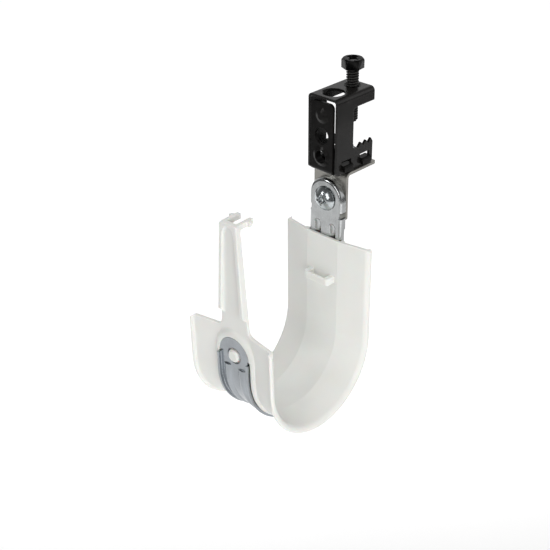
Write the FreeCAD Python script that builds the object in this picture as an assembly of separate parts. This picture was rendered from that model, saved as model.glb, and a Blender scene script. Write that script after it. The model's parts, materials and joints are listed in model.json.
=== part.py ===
import FreeCAD, Part
import math
import os

from FreeCAD import Vector

# A hook support for data cables that hangs from a steel beam. All sizes are in millimetres.
# X runs along the cables, Y from the hook's open side towards its back, and Z is up.
# The origin is the seat of the beam's flange: on the clamp's tooth tips, under its set screw.

# Beam clamp: an inverted U of black sheet
clamp_sheet = 1.3
clamp_width = 18.4
clamp_length = 27.1
clamp_bend_radius = 2.2
screw_to_front = 21.2
top_height = 26.0
clamp_drop = 12.7
upper_arm_depth = 6.7
web_depth = 11.9
lower_arm_length = 26.7
lower_corner_radius = 1.6
web_corner_radius = 1.2
tooth_pitch = 3.8
tooth_depth = 2.0
tooth_count = 3
middle_tooth = 0.45
root_ramp = 1.0
top_hole_radius = 5.7
top_hole_from_front = 7.4

# Clamp insert: an L of black sheet hooked through the windows of the two side walls
insert_sheet = 1.5
insert_front_half_width = 6.9
insert_proud = 0.7
insert_top_gap = 1.3
insert_corner_radius = 2.4
insert_bend_radius = 2.0
insert_side_gap = 0.1
insert_back_gap = 2.4
hook_ear_width = 6.4
hook_ear_first = 7.25
hook_ear_spacing = 13.45
hook_ear_top = 4.6
hook_ear_reach = 1.8
hook_ear_fall = 3.2
window_side_gap = 0.35
window_head_gap = 2.0
front_hole_spacing = 10.4
lowest_hole_height = 8.5
middle_hole_radius = 4.2
boss_radius = 3.9
boss_height = 1.1
ring_radius = 5.2
ring_height = 0.8
ring_slope = 2.0
collar_wall = 1.5
collar_height = 1.6

# Screws, one quarter inch with twenty threads an inch
screw_radius = 3.175
tapped_gap = 0.03
swivel_hole_gap = 0.08
tapped_hole_radius = 3.2
set_screw_length = 27.0
set_screw_top = 39.5
set_screw_head_height = 4.7
hex_across_flats = 9.6
hex_turn_deg = 37.0
hex_chamfer = 0.7
tip_chamfer = 0.9
pan_head_radius = 6.25
pan_head_height = 3.8
pan_head_edge = 0.7
recess_radius = 3.3
recess_depth = 2.0
recess_slot = 1.5
short_screw_length = 9.5
clamp_screw_behind_front = 19.7

# Zinc angle bracket between the clamp and the hook
bracket_sheet = 1.5
bracket_half_width = 10.4
bracket_bend_radius = 3.0
bracket_setback = 6.15
bracket_overhang = 1.8
bracket_corner_radius = 1.2
pivot_drop = 15.0
bracket_below_pivot = 10.5
bracket_collar_height = 1.5

# Galvanised steel strap that carries the hook
strap_sheet = 1.2
strap_half_width = 10.4
strap_bend_radius = 1.5
notch_depth = 1.5
flange_depth = 2.8
swivel_gap = 0.05
tab_rim_radius = 10.4
tab_rim_depth = 3.6
rim_below_pivot = 5.4
notch_height = 3.4
bead_start_below_pivot = 14.8
tongue_radius = 9.8
tongue_rise = 10.9
tongue_hole_radius = 4.4
tongue_notch = 1.1
bead_front_rise = 4.4
bead_offset = 4.8
bead_half_width = 2.3
bead_height = 0.9

# White moulded saddle
trough_radius = 30.0
trough_wall = 1.7
seat_gap = 0.1
saddle_half_width = 27.6
band_half_width = 10.1
flare_slope_deg = 9.5
roll_radius = 2.8
roll_height = 6.2
hook_drop = 71.1
back_wall_rise = 51.0
lip_rise = 24.6
front_lean_deg = 1.8
wall_corner_radius = 2.6
guard_gap = 0.15
swelling_height = 1.6
swelling_width = 3.8
swelling_corner = 0.4
swelling_dip = 0.06
plug_radius = 3.4
plug_proud = 1.3
plug_chamfer = 0.8

# Latch that stands up from the lip, moulded in one with the saddle
latch_top_rise = 82.9
latch_rib_start_rise = 33.0
latch_half_width_low = 8.9
latch_half_width_high = 5.4
latch_rib_height = 2.3
latch_rib_width = 1.9
latch_rib_thinning = 1.2
latch_pocket_fillet = 1.3
latch_top_bar = 1.4
latch_foot_fillet = 3.0
latch_tip_radius = 1.2
finger_offset = 4.0
finger_width = 2.2
finger_thickness = 2.7
finger_length = 8.8
barb_length = 2.2
barb_from_end = 1.6
barb_reach = 1.6

# Catch loop on the back wall, which the latch's fingers snap into
loop_half_width = 8.2
loop_depth = 5.3
loop_bar = 1.2
loop_height = 3.8
loop_end_width = 2.8
loop_below_top = 20.5
loop_edge_radius = 0.5

# Places worked out from the sizes above
front_y = -screw_to_front
plate_y = front_y - insert_proud
bottom_z = -clamp_drop
wall_inner_x = clamp_width / 2 - clamp_sheet
leg_front_y = front_y + bracket_setback
bracket_under_z = bottom_z - bracket_sheet
pivot_z = bottom_z - pivot_drop
tab_face_y = leg_front_y - swivel_gap - tab_rim_depth
wall_radius = trough_radius + trough_wall
strap_radius = wall_radius + seat_gap
hook_y = tab_face_y - strap_radius
hook_z = pivot_z - hook_drop
hook_centre = Vector(0, hook_y, hook_z)
clamp_screw_y = front_y + clamp_screw_behind_front
front_lean = math.radians(front_lean_deg)
x_axis = Vector(1, 0, 0)
y_axis = Vector(0, 1, 0)
z_axis = Vector(0, 0, 1)


def block(x0, x1, y0, y1, z0, z1):
    """A box between two opposite corners."""
    return Part.makeBox(x1 - x0, y1 - y0, z1 - z0, Vector(x0, y0, z0))


def rod(radius, start, direction, length):
    """A cylinder from a point along a direction."""
    return Part.makeCylinder(radius, length, start, direction)


def outline_face(points):
    """A flat face inside a closed run of straight edges."""
    return Part.Face(Part.makePolygon(points + [points[0]]))


def rounded(shape, radius, wanted):
    """The shape with a fillet on each edge that the test picks."""
    edges = [edge for edge in shape.Edges if wanted(edge)]
    return shape.makeFillet(radius, edges)


def runs_along(edge, axis):
    """True for a straight edge parallel to an axis."""
    if len(edge.Vertexes) != 2 or not isinstance(edge.Curve, (Part.Line, Part.LineSegment)):
        return False
    run = edge.Vertexes[1].Point - edge.Vertexes[0].Point
    return abs(run.normalize().dot(axis)) > 0.999


def middle(edge):
    """The centre of an edge's box."""
    return edge.BoundBox.Center


def mirrored(shape):
    """The shape's mirror image across the hook's middle plane."""
    return shape.mirror(Vector(0, 0, 0), x_axis)


def both_sides(shape):
    """A list of the shape and its mirror image."""
    return [shape, mirrored(shape)]


def joined(shapes):
    """One solid out of shapes that overlap."""
    first, *rest = shapes
    return first.fuse(rest).removeSplitter()


def side_wall_outline():
    """The clamp's side wall seen along X: a C whose lower arm carries the teeth."""
    back_y = front_y + clamp_length
    web_y = front_y + web_depth
    arm_y = front_y + lower_arm_length
    valley_z = -tooth_depth
    first_tooth = middle_tooth - tooth_pitch * (tooth_count - 1) / 2
    points = [
        Vector(0, front_y, bottom_z),
        Vector(0, front_y, top_height),
        Vector(0, back_y, top_height),
        Vector(0, back_y, top_height - upper_arm_depth),
        Vector(0, web_y, top_height - upper_arm_depth),
        Vector(0, web_y, valley_z + root_ramp),
        Vector(0, web_y + root_ramp, valley_z),
    ]
    for number in range(tooth_count):
        tip_y = first_tooth + number * tooth_pitch
        points.append(Vector(0, tip_y - tooth_pitch / 2, valley_z))
        points.append(Vector(0, tip_y, 0))
    points.append(Vector(0, arm_y, valley_z))
    points.append(Vector(0, arm_y, bottom_z))
    return points


def window(ear_y):
    """The opening in a side wall that one hook ear of the insert comes out through."""
    ear_top = bottom_z + hook_ear_top
    half = hook_ear_width / 2 + window_side_gap
    floor_z = ear_top - insert_sheet - insert_side_gap
    return block(
        wall_inner_x - 1, clamp_width / 2 + 1, ear_y - half, ear_y + half, floor_z, ear_top + window_head_gap)


def ear_places():
    """Where the insert's hook ears stand along Y."""
    return [front_y + hook_ear_first, front_y + hook_ear_first + hook_ear_spacing]


def make_clamp_frame():
    """Top plate and two toothed side walls, folded from one sheet."""
    half = clamp_width / 2
    solid = outline_face(side_wall_outline()).extrude(Vector(clamp_width, 0, 0))
    solid.translate(Vector(-half, 0, 0))
    solid = rounded(solid, clamp_bend_radius, lambda e: runs_along(e, y_axis)
                    and middle(e).z > top_height - 0.01)
    lower_ends = [front_y, front_y + lower_arm_length]
    solid = rounded(solid, lower_corner_radius, lambda e: runs_along(e, x_axis)
                    and middle(e).z < bottom_z + 0.01 and min(abs(middle(e).y - y) for y in lower_ends) < 0.01)
    web_y = front_y + web_depth
    solid = rounded(solid, web_corner_radius, lambda e: runs_along(e, x_axis)
                    and abs(middle(e).y - web_y) < 0.01 and middle(e).z > 0.01)
    reach = 1.0
    hollow = block(-wall_inner_x, wall_inner_x, front_y - reach, front_y + clamp_length + reach,
                   bottom_z - reach, top_height - clamp_sheet)
    inner_radius = clamp_bend_radius - clamp_sheet
    hollow = rounded(hollow, inner_radius, lambda e: runs_along(e, y_axis) and middle(e).z > 0)
    solid = solid.cut(hollow)
    collar_top = top_height - clamp_sheet
    collar = rod(screw_radius + collar_wall, Vector(0, 0, collar_top - collar_height), z_axis, collar_height)
    solid = solid.fuse(collar)
    bore_start = Vector(0, 0, collar_top - collar_height - reach)
    bore = rod(screw_radius + tapped_gap, bore_start, z_axis, clamp_sheet + collar_height + 2 * reach)
    funnel = Part.makeCone(
        screw_radius + tapped_gap, screw_radius + collar_wall, collar_wall,
        Vector(0, 0, top_height - collar_wall + 0.4), z_axis)
    hole_y = front_y + top_hole_from_front
    top_hole = rod(top_hole_radius, Vector(0, hole_y, collar_top - reach), z_axis, clamp_sheet + 2 * reach)
    windows = []
    for ear_y in ear_places():
        windows.extend(both_sides(window(ear_y)))
    return solid.cut([bore, funnel, top_hole] + windows).removeSplitter()


def hook_ear(ear_y):
    """One ear of the insert: up inside the wall, out through the window and down again."""
    half = hook_ear_width / 2
    ear_top = bottom_z + hook_ear_top
    inner_x = wall_inner_x - insert_side_gap - insert_sheet
    outer_x = clamp_width / 2 + hook_ear_reach
    rise = block(inner_x, inner_x + insert_sheet, ear_y - half, ear_y + half, bottom_z, ear_top)
    across = block(inner_x, outer_x, ear_y - half, ear_y + half, ear_top - insert_sheet, ear_top)
    fall = block(outer_x - insert_sheet, outer_x, ear_y - half, ear_y + half,
                 ear_top - hook_ear_fall, ear_top)
    ear = joined([rise, across, fall])
    return rounded(ear, insert_sheet * 0.6, lambda e: runs_along(e, y_axis) and middle(e).z > ear_top - 0.01)


def raised_ring(z, radius, height):
    """A flat topped swelling with gentle flanks, pressed out of the front plate."""
    top = Vector(0, plate_y - height, z)
    return Part.makeCone(radius - ring_slope * height, radius, height, top, y_axis)


def make_clamp_insert():
    """Front plate and bottom plate in one L, with the holes that other hangers use."""
    inner_x = wall_inner_x - insert_side_gap
    plate_top = top_height - clamp_sheet - insert_top_gap
    plate_back = plate_y + insert_sheet
    front = block(-insert_front_half_width, insert_front_half_width, plate_y, plate_back,
                  bottom_z, plate_top)
    front = rounded(front, insert_corner_radius, lambda e: runs_along(e, y_axis)
                    and middle(e).z > plate_top - 0.01)
    floor_front = plate_y + insert_bend_radius
    neck = block(-insert_front_half_width, insert_front_half_width, plate_y, floor_front + insert_sheet,
                 bottom_z, bottom_z + insert_sheet)
    fold = rounded(joined([front, neck]), insert_bend_radius, lambda e: runs_along(e, x_axis)
                   and middle(e).z < bottom_z + 0.01 and middle(e).y < plate_y + 0.01)
    floor_back = front_y + lower_arm_length - insert_back_gap
    floor = block(-inner_x, inner_x, floor_front, floor_back, bottom_z, bottom_z + insert_sheet)
    shapes = [fold, floor]
    for ear_y in ear_places():
        shapes.extend(both_sides(hook_ear(ear_y)))
    low_z = bottom_z + lowest_hole_height
    middle_z = low_z + front_hole_spacing
    shapes.append(raised_ring(low_z, ring_radius, ring_height))
    shapes.append(raised_ring(middle_z + front_hole_spacing, boss_radius, boss_height))
    floor_top = Vector(0, clamp_screw_y, bottom_z + insert_sheet)
    shapes.append(rod(screw_radius + collar_wall, floor_top, z_axis, collar_height))
    shapes.append(rod(tapped_hole_radius + collar_wall, Vector(0, plate_back, low_z), y_axis, collar_height))
    solid = joined(shapes)
    reach = 1.0
    through = insert_sheet + collar_height + 2 * reach
    low_hole = rod(tapped_hole_radius, Vector(0, plate_y - reach, low_z), y_axis, through)
    middle_hole = rod(middle_hole_radius, Vector(0, plate_y - reach, middle_z), y_axis, through)
    boss_back = Vector(0, plate_back + reach, middle_z + front_hole_spacing)
    dimple = rod(boss_radius - ring_slope * boss_height, boss_back, y_axis * -1, boss_height + reach)
    screw_hole = rod(screw_radius + tapped_gap, Vector(0, clamp_screw_y, bottom_z - reach), z_axis, through)
    return solid.cut([low_hole, middle_hole, dimple, screw_hole]).removeSplitter()


def phillips_recess(face_point, inward):
    """The cross that a screwdriver turns, sunk along a direction from the head's face."""
    across = inward.cross(x_axis) if abs(inward.dot(x_axis)) < 0.5 else inward.cross(y_axis)
    tip = recess_radius * 0.35
    cross = Part.makeCone(recess_radius * 0.55, tip, recess_depth, face_point, inward)
    wings = []
    for sideways in (x_axis, across):
        along = inward.cross(sideways)
        corners = []
        for side, depth in ((-1, -1.0), (1, -1.0), (1, recess_depth * 0.3), (0.4, recess_depth * 0.9),
                            (-0.4, recess_depth * 0.9), (-1, recess_depth * 0.3)):
            corners.append(face_point + along * (side * recess_radius) + inward * depth
                           - sideways * (recess_slot / 2))
        wings.append(outline_face(corners).extrude(sideways * recess_slot))
    return cross.fuse(wings)


def pan_screw(seat, direction, length):
    """A pan head screw whose head sits at a point and whose shank runs along a direction."""
    outward = direction * -1
    head = rod(pan_head_radius, seat, outward, pan_head_edge)
    crown_height = pan_head_height - pan_head_edge
    sphere_radius = (pan_head_radius ** 2 + crown_height ** 2) / (2 * crown_height)
    crown_centre = seat + outward * (pan_head_height - sphere_radius)
    crown = Part.makeSphere(sphere_radius, crown_centre)
    keep = rod(pan_head_radius, seat + outward * pan_head_edge, outward, pan_head_height)
    shank = rod(screw_radius, seat, direction, length)
    end = seat + direction * length
    shank = shank.makeChamfer(tip_chamfer, [
        edge for edge in shank.Edges if edge.BoundBox.Center.distanceToPoint(end) < 0.01])
    solid = joined([head, crown.common(keep), shank])
    recess = phillips_recess(seat + outward * pan_head_height, direction)
    return solid.cut(recess).removeSplitter()


def make_pivot_screw():
    """The screw that the hook swivels on."""
    return pan_screw(Vector(0, tab_face_y, pivot_z), y_axis, short_screw_length)


def make_clamp_screw():
    """The screw from below that holds the bracket to the clamp."""
    return pan_screw(Vector(0, clamp_screw_y, bracket_under_z), z_axis, short_screw_length)


def make_set_screw():
    """The hexagon screw that presses on the beam's flange."""
    head_base = set_screw_top - set_screw_head_height
    corner_radius = hex_across_flats / math.sqrt(3)
    corners = []
    for number in range(6):
        turn = math.radians(60 * number + hex_turn_deg)
        corners.append(Vector(corner_radius * math.cos(turn), corner_radius * math.sin(turn), head_base))
    head = outline_face(corners).extrude(Vector(0, 0, set_screw_head_height))
    crown = rod(corner_radius, Vector(0, 0, head_base), z_axis, set_screw_head_height)
    crown = crown.makeChamfer(hex_chamfer, [e for e in crown.Edges if middle(e).z > set_screw_top - 0.01])
    head = head.common(crown)
    tip_z = head_base - set_screw_length
    shank = rod(screw_radius, Vector(0, 0, tip_z), z_axis, set_screw_length)
    shank = shank.makeChamfer(tip_chamfer, [e for e in shank.Edges if middle(e).z < tip_z + 0.01])
    solid = joined([head, shank])
    return solid.cut(phillips_recess(Vector(0, 0, set_screw_top), z_axis * -1)).removeSplitter()


def make_angle_bracket():
    """An L of zinc plated sheet: one leg under the clamp, the other down to the pivot."""
    back_y = front_y + lower_arm_length + bracket_overhang
    low_z = pivot_z - bracket_below_pivot
    outline = [
        Vector(0, leg_front_y, low_z),
        Vector(0, leg_front_y, bottom_z),
        Vector(0, back_y, bottom_z),
        Vector(0, back_y, bracket_under_z),
        Vector(0, leg_front_y + bracket_sheet, bracket_under_z),
        Vector(0, leg_front_y + bracket_sheet, low_z),
    ]
    solid = outline_face(outline).extrude(Vector(2 * bracket_half_width, 0, 0))
    solid.translate(Vector(-bracket_half_width, 0, 0))
    solid = rounded(solid, bracket_bend_radius, lambda e: runs_along(e, x_axis)
                    and middle(e).z > bottom_z - 0.01 and middle(e).y < leg_front_y + 0.01)
    inner_radius = bracket_bend_radius - bracket_sheet
    solid = rounded(solid, inner_radius, lambda e: runs_along(e, x_axis)
                    and abs(middle(e).z - bracket_under_z) < 0.01
                    and abs(middle(e).y - leg_front_y - bracket_sheet) < 0.01)
    solid = rounded(solid, bracket_corner_radius, lambda e: (runs_along(e, z_axis)
                    and middle(e).y > back_y - 0.01) or (runs_along(e, y_axis) and middle(e).z < low_z + 0.01))
    leg_back = Vector(0, leg_front_y + bracket_sheet, pivot_z)
    collar = rod(screw_radius + collar_wall, leg_back, y_axis, bracket_collar_height)
    reach = 1.0
    tapped = rod(screw_radius + tapped_gap, Vector(0, leg_front_y - reach, pivot_z), y_axis,
                 bracket_sheet + bracket_collar_height + 2 * reach)
    hole_start = Vector(0, clamp_screw_y, bracket_under_z - reach)
    clearance = rod(screw_radius + swivel_hole_gap, hole_start, z_axis, bracket_sheet + 2 * reach)
    return joined([solid, collar]).cut([tapped, clearance]).removeSplitter()


def section_point(x, radius):
    """A point of the hook's cross-section, at the level of the trough's centre on the back side."""
    return Vector(x, hook_y + radius, hook_z)


def swept_along_hook(face, back_rise, front_rise):
    """A cross-section carried down the back, round the trough and up the front."""
    back = face.extrude(Vector(0, 0, back_rise))
    turn = 180 - front_lean_deg
    bend = face.revolve(hook_centre, x_axis * -1, turn)
    end = face.copy()
    end.rotate(hook_centre, x_axis, -turn)
    upward = Vector(0, -math.sin(front_lean), math.cos(front_lean))
    front = end.extrude(upward * front_rise)
    return joined([back, bend, front])


def front_block(x0, x1, r0, r1, rise0, rise1):
    """A box on the hook's front side, between two radii and two heights above the trough's centre."""
    return block(x0, x1, hook_y - r1, hook_y - r0, hook_z + rise0, hook_z + rise1)


def leaned(shape):
    """A shape of the hook's front side, turned to the lean of the front wall."""
    turned = shape.copy()
    turned.rotate(hook_centre, x_axis, front_lean_deg)
    return turned


def trough_section():
    """The wall's cross-section: a flat band, then flares that roll away from the cables."""
    slope = math.radians(flare_slope_deg)
    roll_centre_x = saddle_half_width - roll_radius
    roll_start_x = roll_centre_x + roll_radius * math.sin(slope)
    flare_rise = (roll_start_x - band_half_width) * math.tan(slope)
    roll_centre_r = trough_radius + flare_rise + roll_radius * math.cos(slope)
    outer_roll = roll_radius - trough_wall
    tip_radius = trough_wall / 2
    tip_r = trough_radius + roll_height - tip_radius

    def roll_point(radius, turn):
        return (roll_centre_x + radius * math.sin(turn), roll_centre_r - radius * math.cos(turn))

    middle_turn = (slope + math.pi / 2) / 2
    inner_band = (band_half_width, trough_radius)
    outer_band = (band_half_width, wall_radius)
    inner_start = roll_point(roll_radius, slope)
    inner_middle = roll_point(roll_radius, middle_turn)
    inner_end = roll_point(roll_radius, math.pi / 2)
    inner_tip = (saddle_half_width, max(tip_r, roll_centre_r + 0.01))
    tip_top = (saddle_half_width - tip_radius, inner_tip[1] + tip_radius)
    outer_tip = (saddle_half_width - trough_wall, inner_tip[1])
    outer_end = roll_point(outer_roll, math.pi / 2)
    outer_middle = roll_point(outer_roll, middle_turn)
    outer_start = roll_point(outer_roll, slope)

    def line(a, b):
        return Part.LineSegment(section_point(*a), section_point(*b)).toShape()

    def arc(a, b, c):
        return Part.Arc(section_point(*a), section_point(*b), section_point(*c)).toShape()

    def other(point):
        return (-point[0], point[1])

    right = [
        line(inner_band, inner_start),
        arc(inner_start, inner_middle, inner_end),
        line(inner_end, inner_tip),
        arc(inner_tip, tip_top, outer_tip),
        line(outer_tip, outer_end),
        arc(outer_end, outer_middle, outer_start),
        line(outer_start, outer_band),
    ]
    left = [
        line(other(outer_band), other(outer_start)),
        arc(other(outer_start), other(outer_middle), other(outer_end)),
        line(other(outer_end), other(outer_tip)),
        arc(other(outer_tip), other(tip_top), other(inner_tip)),
        line(other(inner_tip), other(inner_end)),
        arc(other(inner_end), other(inner_middle), other(inner_start)),
        line(other(inner_start), other(inner_band)),
    ]
    edges = right + [line(outer_band, other(outer_band))] + left + [line(other(inner_band), inner_band)]
    return Part.Face(Part.Wire(edges))


def corner_trim(top_z, y0, y1):
    """What rounds off one upper corner of a wall, seen along Y."""
    centre_x = saddle_half_width - wall_corner_radius
    centre_z = top_z - wall_corner_radius
    corner = block(centre_x, saddle_half_width + 1, y0, y1, centre_z, top_z + 1)
    return corner.cut(rod(wall_corner_radius, Vector(centre_x, y0, centre_z), y_axis, y1 - y0))


def trough():
    """The J of the saddle's wall with its upper corners rounded."""
    wall = swept_along_hook(trough_section(), back_wall_rise, lip_rise)
    depth = roll_height + 2
    back_y = hook_y + trough_radius
    back_trim = corner_trim(hook_z + back_wall_rise, back_y - 1, back_y + depth)
    front_y0 = hook_y - trough_radius
    lip_trim = leaned(corner_trim(hook_z + lip_rise, front_y0 - depth, front_y0 + 1))
    return wall.cut(both_sides(back_trim) + both_sides(lip_trim))


def swelling_profile(place, inner, flat):
    """The soft swelling beside the strap: steep inside, flat on top, then an S down to the wall."""
    root = -trough_wall / 2
    top = swelling_height
    quarter = swelling_corner * (1 - math.sqrt(0.5))
    run = swelling_width / 2
    fall = (top + swelling_dip) / 2
    radius = (run ** 2 + fall ** 2) / (2 * fall)
    half_turn = math.asin(run / radius) / 2
    across = radius * math.sin(half_turn)
    drop = radius * (1 - math.cos(half_turn))
    crest = inner + flat
    foot = crest + 2 * run
    inner_foot = place(inner, root)
    inner_top = place(inner, top - swelling_corner)
    corner = place(inner + quarter, top - quarter)
    top_start = place(inner + swelling_corner, top)
    top_end = place(crest, top)
    upper = place(crest + across, top - drop)
    turn = place(crest + run, top - fall)
    lower = place(foot - across, drop - swelling_dip)
    outer_top = place(foot, -swelling_dip)
    outer_foot = place(foot, root)
    edges = [
        Part.LineSegment(inner_foot, inner_top).toShape(),
        Part.Arc(inner_top, corner, top_start).toShape(),
        Part.LineSegment(top_start, top_end).toShape(),
        Part.Arc(top_end, upper, turn).toShape(),
        Part.Arc(turn, lower, outer_top).toShape(),
        Part.LineSegment(outer_top, outer_foot).toShape(),
        Part.LineSegment(outer_foot, inner_foot).toShape(),
    ]
    return Part.Face(Part.Wire(edges))


def strap_guards():
    """Two swellings that hug the strap's flanges from the back wall's top to the tongue."""
    def place(across, height):
        return section_point(across, wall_radius + height)

    inner = strap_half_width + guard_gap
    face = swelling_profile(place, inner, swelling_corner * 1.5)
    rib = swept_along_hook(face, back_wall_rise, tongue_rise)
    return both_sides(rib)


def tongue_ridge():
    """The swelling carried as an arch over the strap's round end."""
    centre = Vector(0, hook_y, hook_z + tongue_rise)

    def place(across, height):
        return Vector(across, hook_y - wall_radius - height, centre.z)

    inner = tongue_radius + guard_gap
    flat = strap_half_width - tongue_radius + swelling_corner * 1.5
    face = swelling_profile(place, inner, flat)
    return leaned(face.revolve(centre, y_axis * -1, 180))


def snap_plug():
    """The stud that holds the strap's round end."""
    root = strap_radius - trough_wall / 2
    top = strap_radius + strap_sheet + plug_proud
    face = Vector(0, hook_y - top, hook_z + tongue_rise)
    stud = rod(plug_radius, face, y_axis, top - root)
    stud = stud.makeChamfer(plug_chamfer, [e for e in stud.Edges if abs(middle(e).y - face.y) < 0.01])
    return leaned(stud)


def latch_half_width(rise):
    """The latch tapers in a straight line from the lip to its tip."""
    share = (rise - lip_rise) / (latch_top_rise - lip_rise)
    return latch_half_width_low + (latch_half_width_high - latch_half_width_low) * share


def latch_plate(rise0, rise1, inset, r0, r1):
    """A slab with the latch's taper between two heights and two radii."""
    y = hook_y - r1
    low = latch_half_width(rise0) - inset
    high = latch_half_width(rise1) - inset
    corners = [Vector(-low, y, hook_z + rise0), Vector(low, y, hook_z + rise0),
               Vector(high, y, hook_z + rise1), Vector(-high, y, hook_z + rise1)]
    return outline_face(corners).extrude(Vector(0, r1 - r0, 0))


def latch_slice(corners):
    """A cut right across the latch, given by points of (radius, height above the trough's centre)."""
    half = latch_half_width_low + 1
    face = outline_face([Vector(-half, hook_y - r, hook_z + rise) for r, rise in corners])
    return face.extrude(Vector(2 * half, 0, 0))


def latch_body():
    """The tapered panel with a rib down each side, joined over its top."""
    panel_r = wall_radius
    face_r = panel_r + latch_rib_height
    panel = latch_plate(lip_rise - wall_corner_radius, latch_top_rise, 0, trough_radius, panel_r)
    ribs = latch_plate(latch_rib_start_rise, latch_top_rise, 0, panel_r, face_r)
    body = joined([panel, ribs])
    top_z = hook_z + latch_top_rise
    body = rounded(body, latch_tip_radius, lambda e: runs_along(e, y_axis) and middle(e).z > top_z - 0.01)
    arch_radius = latch_half_width(latch_top_rise) - latch_rib_width
    arch_rise = latch_top_rise - latch_top_bar - arch_radius
    floor_y = hook_y - panel_r
    pocket = latch_plate(latch_rib_start_rise - latch_rib_height, arch_rise, latch_rib_width,
                         panel_r, face_r + 1)
    arch = rod(arch_radius, Vector(0, hook_y - face_r - 1, hook_z + arch_rise), y_axis, face_r + 1 - panel_r)
    pocket = rounded(joined([pocket, arch]), latch_pocket_fillet,
                     lambda e: abs(e.BoundBox.YMin - floor_y) < 0.01 and abs(e.BoundBox.YMax - floor_y) < 0.01)
    ramp = latch_slice([(panel_r, latch_rib_start_rise), (face_r + 1, latch_rib_start_rise),
                        (face_r + 1, latch_rib_start_rise + latch_rib_height + 1)])
    thinning = latch_slice([(face_r, latch_rib_start_rise), (face_r - latch_rib_thinning, latch_top_rise + 1),
                            (face_r + 1, latch_top_rise + 1), (face_r + 1, latch_rib_start_rise)])
    return body.cut([pocket, ramp, thinning])


def latch_foot():
    """The two fillets between the latch's foot and the lip."""
    foot_x = latch_half_width(lip_rise)
    radius = latch_foot_fillet
    corner = front_block(foot_x - 0.5, foot_x + radius, trough_radius, wall_radius,
                         lip_rise - 0.5, lip_rise + radius)
    hollow_start = Vector(foot_x + radius, hook_y - wall_radius - 1, hook_z + lip_rise + radius)
    return corner.cut(rod(radius, hollow_start, y_axis, trough_wall + 2))


def latch_finger():
    """One finger at the latch's tip with the barb that catches behind the loop."""
    top_z = hook_z + latch_top_rise
    low_z = top_z - finger_thickness
    root_y = hook_y - wall_radius
    end_y = hook_y - trough_radius + finger_length
    left = finger_offset - finger_width / 2
    right = finger_offset + finger_width / 2
    outline = [
        Vector(left, root_y, low_z),
        Vector(left, end_y, low_z),
        Vector(right, end_y, low_z),
        Vector(right, end_y - barb_from_end, low_z),
        Vector(right + barb_reach, end_y - barb_from_end - barb_length * 0.4, low_z),
        Vector(right + barb_reach, end_y - barb_from_end - barb_length, low_z),
        Vector(right, end_y - barb_from_end - barb_length, low_z),
        Vector(right, root_y, low_z),
    ]
    return outline_face(outline).extrude(Vector(0, 0, finger_thickness))


def latch():
    """The whole latch, turned to the lean of the front wall."""
    shapes = [latch_body()] + both_sides(latch_foot()) + both_sides(latch_finger())
    return leaned(joined(shapes))


def catch_loop():
    """A low loop on the back wall with room behind its bar for the latch's fingers."""
    wall_y = hook_y + trough_radius
    top_z = hook_z + back_wall_rise - loop_below_top
    outside = block(-loop_half_width, loop_half_width, wall_y - loop_depth, wall_y + trough_wall / 2,
                    top_z - loop_height, top_z)
    outside = rounded(outside, loop_end_width * 0.8, lambda e: runs_along(e, z_axis)
                      and middle(e).y < wall_y - loop_depth + 0.01)
    outside = rounded(outside, loop_edge_radius, lambda e: middle(e).y < wall_y - 0.01
                      and abs(middle(e).z - top_z + loop_height / 2) > loop_height / 2 - 0.01)
    inner_x = loop_half_width - loop_end_width
    inside = block(-inner_x, inner_x, wall_y - loop_depth + loop_bar, wall_y,
                   top_z - loop_height - 1, top_z + 1)
    return outside.cut(inside)


def make_cable_saddle():
    """The white moulding: trough, latch, catch loop, strap guards and snap plug in one piece."""
    shapes = [trough(), tongue_ridge(), snap_plug(), latch(), catch_loop()] + strap_guards()
    return joined(shapes)


def strap_section(with_beads):
    """The strap's cross-section: a web with two pressed beads and a flange along each edge."""
    inner = strap_radius
    outer = strap_radius + strap_sheet
    edge_r = strap_radius + flange_depth
    bend_x = strap_half_width - strap_bend_radius
    bend_r = strap_radius + strap_bend_radius
    small = strap_bend_radius - strap_sheet
    flange_x = strap_half_width - strap_sheet

    def line(a, b):
        return Part.LineSegment(section_point(*a), section_point(*b)).toShape()

    def arc(a, b, c):
        return Part.Arc(section_point(*a), section_point(*b), section_point(*c)).toShape()

    def bend_point(radius, side):
        quarter = math.sqrt(0.5)
        return (side * (bend_x + radius * quarter), bend_r - radius * quarter)

    def web(radius, start, end):
        """The web's face from one bend to the other, over the beads."""
        if not with_beads:
            return [line((start, radius), (end, radius))]
        direction = 1 if end > start else -1
        edges = []
        x = start
        for centre in (-bead_offset * direction, bead_offset * direction):
            rise_x = centre - direction * bead_half_width
            fall_x = centre + direction * bead_half_width
            edges.append(line((x, radius), (rise_x, radius)))
            edges.append(arc((rise_x, radius), (centre, radius + bead_height), (fall_x, radius)))
            x = fall_x
        edges.append(line((x, radius), (end, radius)))
        return edges

    edges = web(inner, -bend_x, bend_x)
    edges.append(arc((bend_x, inner), bend_point(strap_bend_radius, 1), (strap_half_width, bend_r)))
    edges.append(line((strap_half_width, bend_r), (strap_half_width, edge_r)))
    edges.append(line((strap_half_width, edge_r), (flange_x, edge_r)))
    edges.append(line((flange_x, edge_r), (flange_x, bend_r)))
    edges.append(arc((flange_x, bend_r), bend_point(small, 1), (bend_x, outer)))
    edges += web(outer, bend_x, -bend_x)
    edges.append(arc((-bend_x, outer), bend_point(small, -1), (-flange_x, bend_r)))
    edges.append(line((-flange_x, bend_r), (-flange_x, edge_r)))
    edges.append(line((-flange_x, edge_r), (-strap_half_width, edge_r)))
    edges.append(line((-strap_half_width, edge_r), (-strap_half_width, bend_r)))
    edges.append(arc((-strap_half_width, bend_r), bend_point(strap_bend_radius, -1), (-bend_x, inner)))
    return Part.Face(Part.Wire(edges))


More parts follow.
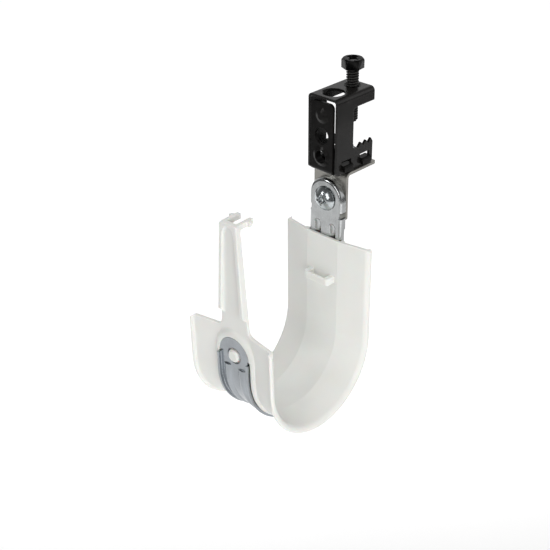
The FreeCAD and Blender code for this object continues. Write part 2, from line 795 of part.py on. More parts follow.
def tab_cup(half_width, front_edge_radius, y0, y1, low_z):
    """A slab with a round top about the pivot and a rounded front edge."""
    disc = rod(half_width, Vector(0, y0, pivot_z), y_axis, y1 - y0)
    below = block(-half_width, half_width, y0, y1, low_z, pivot_z)
    slab = joined([disc, below])
    return rounded(slab, front_edge_radius, lambda e: middle(e).y < y0 + 0.01 and middle(e).z > low_z + 0.01)


def strap_tab():
    """The strap's upper end: a round tab whose rim is bent back against the bracket."""
    back_y = tab_face_y + tab_rim_depth
    rim_low_z = pivot_z - rim_below_pivot
    shell_bottom = hook_z + back_wall_rise
    outside = tab_cup(tab_rim_radius, strap_bend_radius, tab_face_y, back_y, shell_bottom)
    inside = tab_cup(tab_rim_radius - strap_sheet, strap_bend_radius - strap_sheet,
                     tab_face_y + strap_sheet, back_y + 1, shell_bottom - 1)
    shell = outside.cut(inside)
    side = block(tab_rim_radius - notch_depth, tab_rim_radius + 1, tab_face_y - 1, back_y + 1,
                 rim_low_z - notch_height, rim_low_z)
    bead_top = pivot_z - bead_start_below_pivot
    below = block(-tab_rim_radius - 1, tab_rim_radius + 1, tab_face_y - 1, back_y + 1,
                  shell_bottom - 2, bead_top)
    hole = rod(screw_radius + swivel_hole_gap, Vector(0, tab_face_y - 1, pivot_z), y_axis, tab_rim_depth + 2)
    return shell.cut(both_sides(side) + [below, hole])


def strap_front():
    """The strap's lower end: plain web and flanges, then the notches and the round tongue."""
    outer = strap_radius + strap_sheet
    face = strap_section(False)
    face.rotate(hook_centre, x_axis, 180)
    face.translate(Vector(0, 0, bead_front_rise))
    plain = face.extrude(Vector(0, 0, tongue_rise - tongue_notch - bead_front_rise))
    centre = Vector(0, hook_y - outer, hook_z + tongue_rise)
    disc = rod(tongue_radius, centre, y_axis, strap_sheet)
    neck_half = strap_half_width - notch_depth
    neck = front_block(-neck_half, neck_half, strap_radius, outer, tongue_rise - tongue_notch - 0.2, tongue_rise)
    tongue = joined([disc.cut(front_block(-tongue_radius - 1, tongue_radius + 1, strap_radius - 1, outer + 1,
                                          tongue_rise - tongue_radius - 1, tongue_rise)), neck, plain])
    return leaned(tongue)


def bead_end(x, end_z, shift):
    """The round end of a pressed bead, on the web's inner or outer face, below a given height."""
    sphere_radius = (bead_half_width ** 2 + bead_height ** 2) / (2 * bead_height)
    face_y = hook_y + strap_radius + shift
    ball = Part.makeSphere(sphere_radius, Vector(x, face_y + bead_height - sphere_radius, end_z))
    reach = bead_half_width + 1
    keep = block(x - reach, x + reach, face_y, face_y + bead_height + 1, end_z, end_z + reach)
    return ball.common(keep)


def make_hook_strap():
    """The galvanised strap: tab, back, bend and tongue, folded from one strip."""
    bead_top = pivot_z - bead_start_below_pivot
    swept = swept_along_hook(strap_section(True), bead_top - hook_z, bead_front_rise)
    swellings = both_sides(bead_end(bead_offset, bead_top, strap_sheet))
    hollows = both_sides(bead_end(bead_offset, bead_top, 0))
    tongue_hole = rod(tongue_hole_radius, hook_centre + Vector(0, -strap_radius - strap_sheet - 1, tongue_rise),
                      y_axis, strap_sheet + 2)
    solid = joined([strap_tab(), swept, strap_front()] + swellings)
    return solid.cut(hollows + [leaned(tongue_hole)])


nodes = {
    "clamp_frame": make_clamp_frame,
    "clamp_insert": make_clamp_insert,
    "set_screw": make_set_screw,
    "clamp_screw": make_clamp_screw,
    "angle_bracket": make_angle_bracket,
    "pivot_screw": make_pivot_screw,
    "hook_strap": make_hook_strap,
    "cable_saddle": make_cable_saddle,
}

os.makedirs("parts", exist_ok=True)
for name, make in nodes.items():
    shape = make()
    print(name, "valid", shape.isValid(), "solids", len(shape.Solids), "volume", round(shape.Volume, 1))
    shape.exportStep("parts/" + name + ".step")
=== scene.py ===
import json
import math

import bpy
from bpy.props import FloatProperty, FloatVectorProperty, IntProperty, PointerProperty
from mathutils import Matrix, Quaternion, Vector

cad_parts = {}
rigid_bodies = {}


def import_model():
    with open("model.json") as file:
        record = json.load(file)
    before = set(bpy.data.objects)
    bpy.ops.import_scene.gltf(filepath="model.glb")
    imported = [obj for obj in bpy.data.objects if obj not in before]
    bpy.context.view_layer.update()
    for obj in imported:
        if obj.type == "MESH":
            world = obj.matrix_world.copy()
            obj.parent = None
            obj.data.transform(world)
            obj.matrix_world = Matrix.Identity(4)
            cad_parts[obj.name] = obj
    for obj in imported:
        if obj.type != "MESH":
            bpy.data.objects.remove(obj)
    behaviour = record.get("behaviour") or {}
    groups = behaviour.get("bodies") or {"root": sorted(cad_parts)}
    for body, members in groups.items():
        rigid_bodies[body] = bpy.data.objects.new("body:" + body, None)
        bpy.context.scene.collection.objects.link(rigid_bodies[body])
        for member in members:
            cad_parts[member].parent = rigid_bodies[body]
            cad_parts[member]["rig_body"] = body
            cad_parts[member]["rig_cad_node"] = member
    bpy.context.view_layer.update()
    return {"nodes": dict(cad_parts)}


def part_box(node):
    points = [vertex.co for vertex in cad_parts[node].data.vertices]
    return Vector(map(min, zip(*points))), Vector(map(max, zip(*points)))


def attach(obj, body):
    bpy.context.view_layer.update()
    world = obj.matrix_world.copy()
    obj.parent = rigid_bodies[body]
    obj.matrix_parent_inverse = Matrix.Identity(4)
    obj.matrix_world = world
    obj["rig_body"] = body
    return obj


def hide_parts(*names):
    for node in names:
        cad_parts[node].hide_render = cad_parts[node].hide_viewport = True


bl_info = {
    "name": "J Hook Cable Support",
    "version": (1, 0, 0),
    "blender": (4, 5, 0),
    "location": "3D View > Sidebar > J Hook",
    "description": "Dresses a beam clamp, its swivelling hook and its moulded saddle for a studio picture",
    "category": "Object",
}

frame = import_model()
mm = 0.001

# Heights of the screws' heads in the solids
set_head_height = 4.7 * mm
pan_head_height = 3.8 * mm

# How a thread joins its head: the head is cut past its seat and the thread starts inside the head
head_cut = 0.3 * mm
thread_overlap = 0.4 * mm

# Points nearer each other than this are welded, and edges under this angle are shaded smooth
weld_distance = 0.001 * mm
smooth_angle = math.radians(32)

# One turn of the thread as shares of its pitch, each at the root (0) or at the crest (1),
# and the turns made beyond its length, which are cut off
thread_profile = ((0.0, 0), (0.12, 0), (0.44, 1), (0.56, 1), (0.88, 0), (1.0, 0))
spare_turns = 3

# Tip of the thread: its height, then for each ring the share of that height and of the radius kept
tip_height = 1.1 * mm
tip_rings = ((1.0, 0.88), (0.5, 0.86))

# Camera of the picture: angles in degrees, film, lens and places in millimetres
camera_azimuth = 43.794
camera_elevation = 29.393
camera_roll = -0.504
camera_film = 36
camera_lens = 78.06
camera_nearest = 10
camera_offset = (-22.067, -83.063, 559.174)
camera_aim = (0.0, -21.88, 25.55)

# Lights, in metres: each has a direction from the place they aim at, and a width and height
light_aim = Vector((0, -0.04, -0.05))
light_distance = 0.9
top_fill = ((0, -0.1, 1), (0.6, 0.6))
right_fill = ((0.88, -0.38, 0.02), (0.6, 0.6))
left_fill = ((-0.85, -0.42, 0.2), (0.35, 0.8))
key_light = ((-0.48, -0.78, 0.41), (0.13, 0.22))
front_light = ((0.27, -0.90, 0.33), (0.17, 0.66))
front_light_lean = 25

# Room: the elevation of its dark front's middle in degrees, and where each dark part fades
dark_front_elevation = 32
dark_front_fade = (0.0, 0.5)
ceiling_fade = (0.54, 0.64)
horizon_fade = (-0.08, 0.06)

# Floor: its grey, and how far behind the hook the backdrop's light begins and is full, in metres
floor_grey = 0.9
backdrop_fade = (0.05, 0.5)

# Heights between which the galvanised strip changes its tone, from its darker bend to its tab: painted
# shade
strip_fade = (-85 * mm, -45 * mm)

# Black screw: radii between which the thread's crests turn paler, partly bare metal and partly a painted
# highlight, and its fade under the head
crest_bare_and_highlit_fade = (2.75 * mm, 3.05 * mm)
head_fade = 0.4 * mm

# Scale along each axis of a sheet's rolling streaks and of the plastic's flow marks
rolling_streaks = (900.0, 60.0, 60.0)
flow_marks = (260.0, 30.0, 24.0)

# Colours that lie over or vary the finishes: oxide clouds, dust, scuffs and dirt, and painted highlight and
# shade
black_oxide = (0.0015, 0.0015, 0.0016, 1)
paler_oxide = (0.006, 0.0058, 0.0055, 1)
crest_bare_metal_and_highlight = (0.14, 0.137, 0.13, 1)
coating_dust = (0.05, 0.048, 0.045, 1)
zinc_scuffs = (0.42, 0.40, 0.37, 1)
recess_shade = (0.05, 0.05, 0.05, 1)
zinc_grime_and_shade = (0.12, 0.12, 0.12, 1)


class Socket:
    """A shader socket that can be added, subtracted and multiplied like a number."""

    def __init__(self, shader, socket):
        self.shader = shader
        self.socket = socket

    def maths(self, operation, *values):
        return self.shader.node("ShaderNodeMath", {"operation": operation}, *values)

    def __add__(self, other):
        return self.maths("ADD", self, other)

    def __radd__(self, other):
        return self.maths("ADD", other, self)

    def __sub__(self, other):
        return self.maths("SUBTRACT", self, other)

    def __rsub__(self, other):
        return self.maths("SUBTRACT", other, self)

    def __mul__(self, other):
        return self.maths("MULTIPLY", self, other)

    def larger(self, other):
        return self.maths("MAXIMUM", self, other)

    def above(self, low, high):
        """0 below low, 1 above high and smooth between them."""
        settings = {"interpolation_type": "SMOOTHSTEP"}
        return self.shader.node("ShaderNodeMapRange", settings, self, low, high, 0.0, 1.0)

    def axis(self, index):
        """One coordinate of a vector."""
        return self.shader.node("ShaderNodeSeparateXYZ", None, self, output=index)

    def along(self, direction):
        """How far a vector reaches along a direction."""
        settings = {"operation": "DOT_PRODUCT"}
        return self.shader.node("ShaderNodeVectorMath", settings, self, direction, output="Value")

    def from_axis(self):
        """How far a place is from the upright axis through the origin."""
        flat = self.shader.node("ShaderNodeVectorMath", {"operation": "MULTIPLY"}, self, (1, 1, 0))
        return self.shader.node("ShaderNodeVectorMath", {"operation": "LENGTH"}, flat, output="Value")


class Shader:
    """The nodes of a material or of the world, made in a few words."""

    def __init__(self, owner, surface):
        self.owner = owner
        owner.use_nodes = True
        self.tree = owner.node_tree
        self.surface = self.tree.nodes[surface]

    def node(self, kind, settings=None, *values, output=0, **named):
        """A node with its settings made first, then its sockets filled by order or by name."""
        node = self.tree.nodes.new(kind)
        for key, value in (settings or {}).items():
            setattr(node, key, value)
        for index, value in enumerate(values):
            self.fill(node.inputs[index], value)
        for key, value in named.items():
            self.fill(node.inputs[key.replace("_", " ")], value)
        return Socket(self, node.outputs[output])

    def fill(self, target, value):
        """Links a socket or sets a plain value."""
        if isinstance(value, Socket):
            self.tree.links.new(value.socket, target)
        else:
            target.default_value = value

    def set(self, **named):
        """Fills sockets of the surface shader."""
        for key, value in named.items():
            self.fill(self.surface.inputs[key.replace("_", " ")], value)

    def place(self):
        """Object coordinates in metres."""
        return self.node("ShaderNodeTexCoord", output="Object")

    def stretched(self, scale):
        """Object coordinates scaled along each axis."""
        return self.node("ShaderNodeMapping", None, self.place(), Scale=scale)

    def noise(self, vector, scale, detail, roughness=0.5):
        """Soft random spots, closer together as the scale grows."""
        return self.node("ShaderNodeTexNoise", None, Vector=vector, Scale=scale, Detail=detail,
                         Roughness=roughness)

    def crystals(self, scale):
        """A random value from 0 to 1 for each crystal cell."""
        cells = self.node("ShaderNodeTexVoronoi", None, Vector=self.place(), Scale=scale, output="Color")
        return cells.axis(0)

    def mix(self, factor, low, high):
        """A colour between two colours."""
        node = self.tree.nodes.new("ShaderNodeMix")
        node.data_type = "RGBA"
        self.fill(node.inputs["Factor"], factor)
        self.fill(node.inputs["A"], low)
        self.fill(node.inputs["B"], high)
        return Socket(self, node.outputs["Result"])

    def soft_edges(self, radius):
        """Surface normals as if each sharp edge were rounded by a small radius."""
        return self.node("ShaderNodeBevel", {"samples": 6}, Radius=radius)

    def crevice(self, distance):
        """1 deep in corners, recesses and gaps and 0 on open faces, where painted shade goes."""
        settings = {"samples": 8}
        open_share = self.node("ShaderNodeAmbientOcclusion", settings, Distance=distance, output="AO")
        return 1.0 - open_share.above(0.25, 0.7)

    def rims(self, radius):
        """1 along edges and rims and 0 on open faces, where a painted highlight goes."""
        facet = self.node("ShaderNodeNewGeometry", output="Normal")
        return 1.0 - self.soft_edges(radius).along(facet).above(0.80, 0.985)

    def bump(self, height, strength, distance, normal):
        """Normals tilted by a height, on top of other normals."""
        return self.node("ShaderNodeBump", None, Height=height, Strength=strength, Distance=distance,
                         Normal=normal)


def finish_shader(name):
    """A new material with its shader."""
    return Shader(bpy.data.materials.new(name), "Principled BSDF")


def colour(value, factor=1.0):
    """A colour of four numbers from three."""
    return (value[0] * factor, value[1] * factor, value[2] * factor, 1)


def grey(value):
    """A grey of four numbers."""
    return (value, value, value, 1)


def dress(node_name, material):
    """Gives a CAD node its finish."""
    piece = frame["nodes"][node_name]
    piece.data.materials.clear()
    piece.data.materials.append(material)


def select_only(piece):
    """Makes a piece the only selected and active object."""
    bpy.ops.object.select_all(action="DESELECT")
    piece.select_set(True)
    bpy.context.view_layer.objects.active = piece


class FinishSettings(bpy.types.PropertyGroup):
    plastic: FloatVectorProperty(
        name="Plastic", description="Colour of the moulded saddle", subtype="COLOR",
        default=(0.745, 0.75, 0.72), min=0, max=1)
    coating: FloatVectorProperty(
        name="Black coating", description="Colour of the clamp's coated steel", subtype="COLOR",
        default=(0.0045, 0.0042, 0.004), min=0, max=1)
    strip: FloatVectorProperty(
        name="Galvanised strip", description="Colour of the hook's galvanised steel at its tab",
        subtype="COLOR", default=(0.70, 0.72, 0.725), min=0, max=1)
    # The strip's colour round its bend is darker than at its tab: painted shade
    low_strip: FloatVectorProperty(
        name="Low galvanised strip", description="Colour of the hook's galvanised steel round its bend",
        subtype="COLOR", default=(0.45, 0.48, 0.51), min=0, max=1)
    plate: FloatVectorProperty(
        name="Zinc plate", description="Colour of the bracket's zinc plated steel", subtype="COLOR",
        default=(0.60, 0.585, 0.54), min=0, max=1)
    screw: FloatVectorProperty(
        name="Zinc screw", description="Colour of the bright zinc plated screws", subtype="COLOR",
        default=(0.53, 0.565, 0.58), min=0, max=1)


class ScrewSettings(bpy.types.PropertyGroup):
    pitch: FloatProperty(
        name="Thread pitch", description="Rise of the thread in one turn",
        default=1.27 * mm, unit="LENGTH", min=0.2 * mm, max=4 * mm)
    depth: FloatProperty(
        name="Thread depth", description="Height of the thread from its root",
        default=0.62 * mm, unit="LENGTH", min=0.1 * mm, max=1.5 * mm)
    radius: FloatProperty(
        name="Thread radius", description="Outer radius of the thread",
        default=3.12 * mm, unit="LENGTH", min=1 * mm, max=10 * mm)
    steps: IntProperty(
        name="Steps", description="Segments in one turn of the thread", default=40, min=12, max=128)


class StudioSettings(bpy.types.PropertyGroup):
    floor_depth: FloatProperty(
        name="Floor depth", description="How far the floor lies under the origin",
        default=0.45, unit="LENGTH", min=0.2, max=3)
    floor_front: FloatProperty(
        name="Floor front", description="How far the floor reaches towards the camera and to each side",
        default=1.1, unit="LENGTH", min=0.5, max=10)
    floor_back: FloatProperty(
        name="Floor back", description="How far the floor reaches away from the camera",
        default=5.0, unit="LENGTH", min=2, max=50)
    floor_glow: FloatProperty(
        name="Floor glow", description="Strength of the light from the floor round the hook",
        default=0.22, min=0, max=3)
    backdrop_glow: FloatProperty(
        name="Backdrop glow", description="Strength of the light from the floor behind the hook",
        default=0.78, min=0, max=3)
    room: FloatProperty(
        name="Room light", description="Strength of the soft light from the room",
        default=0.64, min=0, max=3)
    dark_side: FloatProperty(
        name="Dark side", description="Share of the room light in front, overhead and below",
        default=0.17, min=0, max=1)
    top_power: FloatProperty(
        name="Top fill", description="Power of the large soft light from above",
        default=4.6, min=0, max=100, unit="POWER")
    right_power: FloatProperty(
        name="Right fill", description="Power of the large soft light from the right",
        default=5.6, min=0, max=100, unit="POWER")
    left_power: FloatProperty(
        name="Left fill", description="Power of the large soft light from the left",
        default=1.1, min=0, max=100, unit="POWER")
    key_power: FloatProperty(
        name="Key light", description="Power of the small softbox at the front on the left",
        default=0.9, min=0, max=100, unit="POWER")
    front_power: FloatProperty(
        name="Front light", description="Power of the small softbox at the front on the right",
        default=1.45, min=0, max=100, unit="POWER")


def make_camera():
    """The camera at the picture's angle."""
    turn = math.radians(camera_azimuth)
    rise = math.radians(camera_elevation)
    roll = math.radians(camera_roll)
    back = Vector((math.sin(turn) * math.cos(rise), -math.cos(turn) * math.cos(rise), math.sin(rise)))
    level = Vector((math.cos(turn), math.sin(turn), 0))
    upright = back.cross(level)
    right = level * math.cos(roll) + upright * math.sin(roll)
    up = upright * math.cos(roll) - level * math.sin(roll)
    sideways, upwards, away = camera_offset
    place = (Vector(camera_aim) + right * sideways + up * upwards + back * away) * mm
    data = bpy.data.cameras.new("studio_camera")
    data.lens = camera_lens
    data.sensor_width = camera_film
    data.clip_start = camera_nearest * mm
    camera = bpy.data.objects.new("studio_camera", data)
    camera.matrix_world = Matrix.Translation(place) @ Matrix((right, up, back)).transposed().to_4x4()
    bpy.context.collection.objects.link(camera)
    bpy.context.scene.camera = camera


def area_light(name, placing, power, mirrored, lean=0):
    """A soft rectangular light, turned by some degrees, that bright metal mirrors or not."""
    direction, size = placing
    place = light_aim + Vector(direction).normalized() * light_distance
    data = bpy.data.lights.new(name, "AREA")
    data.shape = "RECTANGLE"
    data.size, data.size_y = size
    data.energy = power
    light = bpy.data.objects.new(name, data)
    light.location = place
    leaning = Quaternion((0, 0, 1), math.radians(lean))
    light.rotation_euler = ((light_aim - place).to_track_quat("-Z", "Y") @ leaning).to_euler()
    light.visible_glossy = mirrored
    bpy.context.collection.objects.link(light)


def make_room(studio):
    """Light from all round, darker in front, overhead and below as in a studio."""
    world = bpy.data.worlds.new("studio")
    shader = Shader(world, "Background")
    direction = shader.node("ShaderNodeTexCoord", output="Generated")
    rise = math.radians(dark_front_elevation)
    front = direction.along((0, -math.cos(rise), math.sin(rise))).above(*dark_front_fade)
    overhead = direction.axis(2).above(*ceiling_fade)
    below = 1.0 - direction.axis(2).above(*horizon_fade)
    dark = front.larger(overhead).larger(below)
    shader.set(Color=shader.mix(dark, grey(studio.room), grey(studio.room * studio.dark_side)))
    bpy.context.scene.world = world


def make_floor(studio):
    """A plain pale floor, lit more strongly behind the hook so that it shows as white."""
    bpy.ops.object.select_all(action="DESELECT")
    bpy.ops.mesh.primitive_plane_add(size=2)
    floor = bpy.context.object
    floor.name = "studio_floor"
    turn = math.radians(camera_azimuth)
    behind = Vector((-math.sin(turn), math.cos(turn), 0))
    sideways = Vector((math.cos(turn), math.sin(turn), 0))
    for vertex in floor.data.vertices:
        reach = studio.floor_back if vertex.co.y > 0 else -studio.floor_front
        vertex.co = behind * reach + sideways * (vertex.co.x * studio.floor_front)
        vertex.co.z = -studio.floor_depth
    shader = finish_shader("pale_floor")
    backdrop = shader.place().along(behind).above(*backdrop_fade)
    glow = shader.mix(backdrop, grey(studio.floor_glow), grey(studio.backdrop_glow))
    shader.set(Base_Color=grey(floor_grey), Roughness=0.9, Emission_Color=glow, Emission_Strength=1.0)
    floor.data.materials.append(shader.owner)


class STUDIO_OT_stage(bpy.types.Operator):
    """Makes the pale floor, the soft lights, the room and the camera"""
    bl_idname = "jhook.stage"
    bl_label = "Make the stage"

    def execute(self, context):
        studio = context.scene.jhook_studio
        make_camera()
        context.scene.view_settings.view_transform = "Standard"
        make_floor(studio)
        make_room(studio)
        area_light("top_fill", top_fill, studio.top_power, False)
        area_light("right_fill", right_fill, studio.right_power, False)
        area_light("left_fill", left_fill, studio.left_power, False)
        area_light("key_light", key_light, studio.key_power, True)
        area_light("front_light", front_light, studio.front_power, True, front_light_lean)
        return {"FINISHED"}


def black_coating(name, base, roughness, specular):
    """Thin black coating on folded steel: faint orange peel, dull clouds and specks of dust."""
    shader = finish_shader(name)
    peel = shader.noise(shader.place(), scale=1400.0, detail=2.0)
    cloud = shader.noise(shader.place(), scale=90.0, detail=4.0, roughness=0.6)
    specks = shader.noise(shader.place(), scale=2600.0, detail=1.0).above(0.68, 0.74)
    tone = shader.mix(cloud.above(0.35, 0.7), colour(base, 0.8), colour(base, 1.5))
    tone = shader.mix(specks * 0.4, tone, coating_dust)
    normal = shader.bump(peel, 0.25, 0.04 * mm, shader.soft_edges(0.25 * mm))
    shader.set(Base_Color=tone, Roughness=roughness + (cloud - 0.5) * 0.16, Metallic=0.0,
               Specular_IOR_Level=specular, Normal=normal)
    return shader.owner


class CLAMP_OT_dress(bpy.types.Operator):
    """Coats the clamp's frame and the plate folded inside it"""
    bl_idname = "jhook.clamp"
    bl_label = "Coat the clamp"

    def execute(self, context):
        coating = context.scene.jhook_finishes.coating
        # Painted light and shade: one black coating in a paler copy for the frame and a darker copy for the
        # insert
        paler = [part * 1.8 for part in coating]
        dress("clamp_frame", black_coating("black_coated_frame", paler, roughness=0.25, specular=0.40))
        dress("clamp_insert", black_coating("black_coated_insert", coating, roughness=0.30, specular=0.15))
        return {"FINISHED"}


def zinc_screw_finish(base):
    """Bright zinc on a cold formed screw: soft clouds, small scuffs and painted shade in its recess."""
    shader = finish_shader("bright_zinc_screw")
    cloud = shader.noise(shader.place(), scale=260.0, detail=3.0)
    scuffs = shader.noise(shader.place(), scale=1900.0, detail=2.0).above(0.6, 0.75)
    tone = shader.mix(cloud, colour(base, 0.82), colour(base, 1.12))
    tone = shader.mix(scuffs * 0.35, tone, zinc_scuffs)
    # Painted shade: the recess and other hollows are darkened towards recess_shade
    tone = shader.mix(shader.crevice(1.6 * mm) * 0.9, tone, recess_shade)
    normal = shader.bump(cloud + scuffs * 0.3, 0.12, 0.06 * mm, shader.soft_edges(0.2 * mm))
    shader.set(Base_Color=tone, Metallic=1.0, Roughness=0.17 + cloud * 0.10 + scuffs * 0.08, Normal=normal)
    return shader.owner


def black_screw_finish(seat_z):
    """Black oxide on a hexagon screw: dull flats and paler thread crests, a little bare metal and a painted
    highlight.
    """
    shader = finish_shader("black_oxide_screw")
    cloud = shader.noise(shader.place(), scale=300.0, detail=3.0)
    grain = shader.noise(shader.place(), scale=2400.0, detail=2.0)
    tone = shader.mix(cloud.above(0.3, 0.7), black_oxide, paler_oxide)
    under_head = 1.0 - shader.place().axis(2).above(seat_z - head_fade, seat_z)
    # Painted highlight with some bare metal: the thread's crests are made paler
    crest_bare_and_highlit = shader.place().from_axis().above(*crest_bare_and_highlit_fade) * under_head
    tone = shader.mix(crest_bare_and_highlit * 0.28, tone, crest_bare_metal_and_highlight)
    normal = shader.bump(grain, 0.2, 0.03 * mm, shader.soft_edges(0.18 * mm))
    shader.set(Base_Color=tone, Roughness=0.25 + (cloud - 0.5) * 0.2, Metallic=0.0,
               Specular_IOR_Level=0.08, Normal=normal)
    return shader.owner


def threaded_rod(name, screw, start, direction, length):
    """A real helical thread between two flat ends, narrowed at its tip."""
    root = screw.radius - screw.depth
    bpy.ops.object.select_all(action="DESELECT")
    bpy.ops.mesh.primitive_circle_add(vertices=len(thread_profile), radius=screw.pitch, fill_type="NOTHING")
    rod = bpy.context.object
    rod.name = name
    for vertex, (share, crest_bare_and_highlit) in zip(rod.data.vertices, thread_profile):
        vertex.co = (root + screw.depth * crest_bare_and_highlit, 0, (share - 1) * screw.pitch)
    bpy.ops.object.mode_set(mode="EDIT")
    bpy.ops.mesh.select_mode(type="EDGE")
    bpy.ops.mesh.select_all(action="DESELECT")
    bpy.ops.object.mode_set(mode="OBJECT")
    for edge in rod.data.edges:
        edge.select = set(edge.vertices) == {0, len(thread_profile) - 1}
    bpy.ops.object.mode_set(mode="EDIT")
    bpy.ops.mesh.delete(type="EDGE_FACE")
    bpy.ops.object.mode_set(mode="OBJECT")
    helix = rod.modifiers.new("thread", "SCREW")
    helix.axis = "Z"
    helix.angle = math.tau
    helix.screw_offset = screw.pitch
    helix.iterations = math.ceil(length / screw.pitch) + spare_turns
    helix.steps = screw.steps
    helix.render_steps = screw.steps
    bpy.ops.object.modifier_apply(modifier="thread")
    bpy.ops.object.mode_set(mode="EDIT")
    bpy.ops.mesh.select_all(action="SELECT")
    bpy.ops.mesh.remove_doubles(threshold=weld_distance)
    bpy.ops.mesh.bisect(plane_co=(0, 0, screw.pitch), plane_no=(0, 0, 1), use_fill=True, clear_inner=True)
    bpy.ops.mesh.select_all(action="SELECT")
    bpy.ops.mesh.bisect(plane_co=(0, 0, screw.pitch + length), plane_no=(0, 0, 1), use_fill=True,
                        clear_outer=True)
    bpy.ops.mesh.select_all(action="SELECT")
    bpy.ops.mesh.normals_make_consistent(inside=False)
    bpy.ops.object.mode_set(mode="OBJECT")
    for share, keep in tip_rings:
        for vertex in rod.data.vertices:
            if vertex.co.z > screw.pitch + length - tip_height * share:
                vertex.co.x *= keep
                vertex.co.y *= keep
    turn = Vector((0, 0, 1)).rotation_difference(Vector(direction)).to_matrix().to_4x4()
    rod.data.transform(Matrix.Translation(start) @ turn @ Matrix.Translation((0, 0, -screw.pitch)))
    return rod


def head_of(node_name, name, point, direction):
    """The head of a CAD screw, cut from a copy of its mesh at a plane across its shank."""
    head = frame["nodes"][node_name].copy()
    head.data = head.data.copy()
    head.name = name
    head.parent = None
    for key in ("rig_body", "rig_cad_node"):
        del head[key]
    bpy.context.collection.objects.link(head)
    select_only(head)
    bpy.ops.object.mode_set(mode="EDIT")
    bpy.ops.mesh.select_all(action="SELECT")
    bpy.ops.mesh.remove_doubles(threshold=weld_distance)
    bpy.ops.mesh.bisect(plane_co=point, plane_no=direction, use_fill=True, clear_outer=True)
    bpy.ops.object.mode_set(mode="OBJECT")
    return head


def make_screw(context, node_name, name, body, material, seat, direction, length):
    """A screw with a CAD head and a real thread, in place of its CAD node."""
    screw = context.scene.jhook_screws
    along = Vector(direction)
    start = Vector(seat)
    head = head_of(node_name, name, start + along * head_cut, direction)
    inside = start - along * thread_overlap
    rod = threaded_rod(name + "_thread", screw, inside, direction, length + thread_overlap)
    select_only(head)
    rod.select_set(True)
    bpy.ops.object.join()
    bpy.ops.object.shade_smooth_by_angle(angle=smooth_angle)
    head.data.materials.clear()
    head.data.materials.append(material)
    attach(head, body)
    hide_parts(node_name)


class SCREWS_OT_set_screw(bpy.types.Operator):
    """Models the black set screw with its hexagon head and real thread"""
    bl_idname = "jhook.set_screw"
    bl_label = "Model the set screw"

    def execute(self, context):
        low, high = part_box("set_screw")
        seat_z = high.z - set_head_height
        material = black_screw_finish(seat_z)
        make_screw(context, "set_screw", "threaded_set_screw", "set_screw", material,
                   (0, 0, seat_z), (0, 0, -1), seat_z - low.z)
        return {"FINISHED"}


class SCREWS_OT_pan_screws(bpy.types.Operator):
    """Models the two zinc plated pan head screws with real threads"""
    bl_idname = "jhook.pan_screws"
    bl_label = "Model the pan head screws"

    def execute(self, context):
        material = zinc_screw_finish(context.scene.jhook_finishes.screw)
        low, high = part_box("pivot_screw")
        middle_z = (low.z + high.z) / 2
        seat_y = low.y + pan_head_height
        make_screw(context, "pivot_screw", "threaded_pivot_screw", "bracket", material,
                   (0, seat_y, middle_z), (0, 1, 0), high.y - seat_y)
        low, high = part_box("clamp_screw")
        middle_y = (low.y + high.y) / 2
        seat_z = low.z + pan_head_height
        make_screw(context, "clamp_screw", "threaded_clamp_screw", "clamp", material,
                   (0, middle_y, seat_z), (0, 0, 1), high.z - seat_z)
        return {"FINISHED"}


def zinc_sheet(name, low_base, high_base, roughness):
    """Zinc coated sheet: rolling streaks along its length, faint crystals, dull clouds and scuffs, with
    painted shade in its corners and gaps and a painted shade that darkens its low parts towards low_base.
    """
    shader = finish_shader(name)
    cloud = shader.noise(shader.place(), scale=70.0, detail=4.0, roughness=0.55)
    streaks = shader.noise(shader.stretched(rolling_streaks), scale=1.0, detail=4.0, roughness=0.6)
    crystals = shader.crystals(scale=320.0)
    scuffs = shader.noise(shader.place(), scale=1500.0, detail=3.0, roughness=0.6).above(0.60, 0.72)
    # Painted shade: the colour darkens from high_base towards low_base lower down
    base = shader.mix(shader.place().axis(2).above(*strip_fade), colour(low_base), colour(high_base))
    # Real clouds, streaks and scuffs of dirt, plus painted shade from the crevice mask in corners and gaps
    grime_and_shade = cloud.above(0.3, 0.7) * 0.2 + streaks * 0.2 + scuffs * 0.15 + shader.crevice(1.2 * mm) * 0.5
    dullness = roughness + (crystals - 0.5) * 0.06 + (cloud - 0.5) * 0.12 + streaks * 0.05
    normal = shader.bump(streaks + crystals * 0.15, 0.10, 0.05 * mm, shader.soft_edges(0.3 * mm))
    tone = shader.mix(grime_and_shade, base, zinc_grime_and_shade)
    shader.set(Base_Color=tone, Metallic=1.0, Roughness=dullness, Normal=normal)
    return shader.owner


class BRACKET_OT_dress(bpy.types.Operator):
    """Plates the angle bracket with dull zinc"""
    bl_idname = "jhook.bracket"
    bl_label = "Plate the angle bracket"

    def execute(self, context):
        plate = context.scene.jhook_finishes.plate
        dress("angle_bracket", zinc_sheet("dull_zinc_bracket", plate, plate, roughness=0.37))
        return {"FINISHED"}


class STRAP_OT_dress(bpy.types.Operator):
    """Galvanises the hook's steel strip"""
    bl_idname = "jhook.strap"
    bl_label = "Galvanise the hook strap"

    def execute(self, context):
        finishes = context.scene.jhook_finishes
        finish = zinc_sheet("galvanised_hook_strip", finishes.low_strip, finishes.strip, roughness=0.19)
        dress("hook_strap", finish)
        return {"FINISHED"}


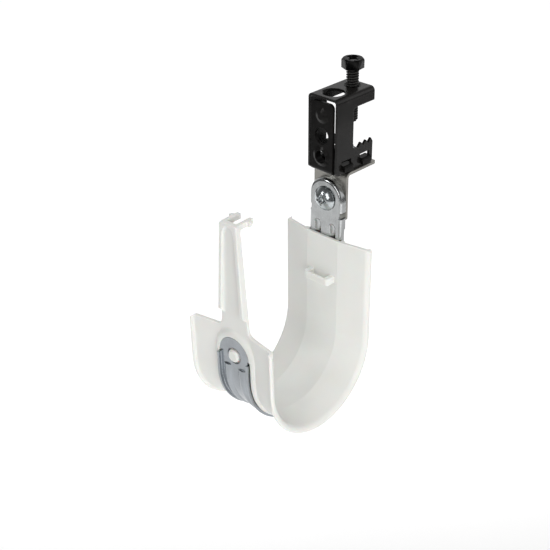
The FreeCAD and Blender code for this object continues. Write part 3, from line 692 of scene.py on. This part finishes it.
class SADDLE_OT_dress(bpy.types.Operator):
    """Gives the moulded saddle its white plastic"""
    bl_idname = "jhook.saddle"
    bl_label = "Mould the saddle in white plastic"

    def execute(self, context):
        base = context.scene.jhook_finishes.plastic
        shader = finish_shader("white_moulded_plastic")
        cloud = shader.noise(shader.place(), scale=45.0, detail=4.0, roughness=0.55)
        texture = shader.noise(shader.place(), scale=2600.0, detail=2.0)
        flow = shader.noise(shader.stretched(flow_marks), scale=1.0, detail=3.0, roughness=0.55)
        dust = shader.noise(shader.place(), scale=1700.0, detail=2.0).above(0.70, 0.76)
        tone = shader.mix(cloud.above(0.3, 0.7), colour(base, 0.985), colour(base, 1.01))
        tone = shader.mix(dust * 0.25, tone, colour(base, 0.8))
        # Painted highlight: edges and rims of the plastic are painted paler
        tone = shader.mix(shader.rims(1.6 * mm), tone, colour(base, 1.18))
        normal = shader.bump(texture * 0.3 + flow, 0.12, 0.05 * mm, shader.soft_edges(0.6 * mm))
        shader.set(Base_Color=tone, Roughness=0.38 + (cloud - 0.5) * 0.14 + (flow - 0.5) * 0.08,
                   Specular_IOR_Level=0.45, Subsurface_Weight=0.12, Subsurface_Scale=2 * mm,
                   Normal=normal)
        dress("cable_saddle", shader.owner)
        return {"FINISHED"}


pieces = (
    "jhook.stage", "jhook.clamp", "jhook.set_screw", "jhook.pan_screws", "jhook.bracket", "jhook.strap",
    "jhook.saddle",
)


class STUDIO_PT_panel(bpy.types.Panel):
    """Lists the steps that dress the hook"""
    bl_idname = "STUDIO_PT_jhook"
    bl_label = "J Hook"
    bl_space_type = "VIEW_3D"
    bl_region_type = "UI"
    bl_category = "J Hook"

    def draw(self, context):
        scene = context.scene
        for settings in (scene.jhook_studio, scene.jhook_finishes, scene.jhook_screws):
            for name in settings.__annotations__:
                self.layout.prop(settings, name)
        for piece in pieces:
            self.layout.operator(piece)


classes = (
    FinishSettings, ScrewSettings, StudioSettings, STUDIO_OT_stage, CLAMP_OT_dress, SCREWS_OT_set_screw,
    SCREWS_OT_pan_screws, BRACKET_OT_dress, STRAP_OT_dress, SADDLE_OT_dress, STUDIO_PT_panel,
)


def register():
    for entry in classes:
        bpy.utils.register_class(entry)
    bpy.types.Scene.jhook_studio = PointerProperty(type=StudioSettings)
    bpy.types.Scene.jhook_finishes = PointerProperty(type=FinishSettings)
    bpy.types.Scene.jhook_screws = PointerProperty(type=ScrewSettings)


def unregister():
    del bpy.types.Scene.jhook_screws
    del bpy.types.Scene.jhook_finishes
    del bpy.types.Scene.jhook_studio
    for entry in reversed(classes):
        bpy.utils.unregister_class(entry)


def main():
    register()
    bpy.ops.jhook.stage()
    bpy.ops.jhook.clamp()
    bpy.ops.jhook.set_screw()
    bpy.ops.jhook.pan_screws()
    bpy.ops.jhook.bracket()
    bpy.ops.jhook.strap()
    bpy.ops.jhook.saddle()


if __name__ == "__main__":
    main()
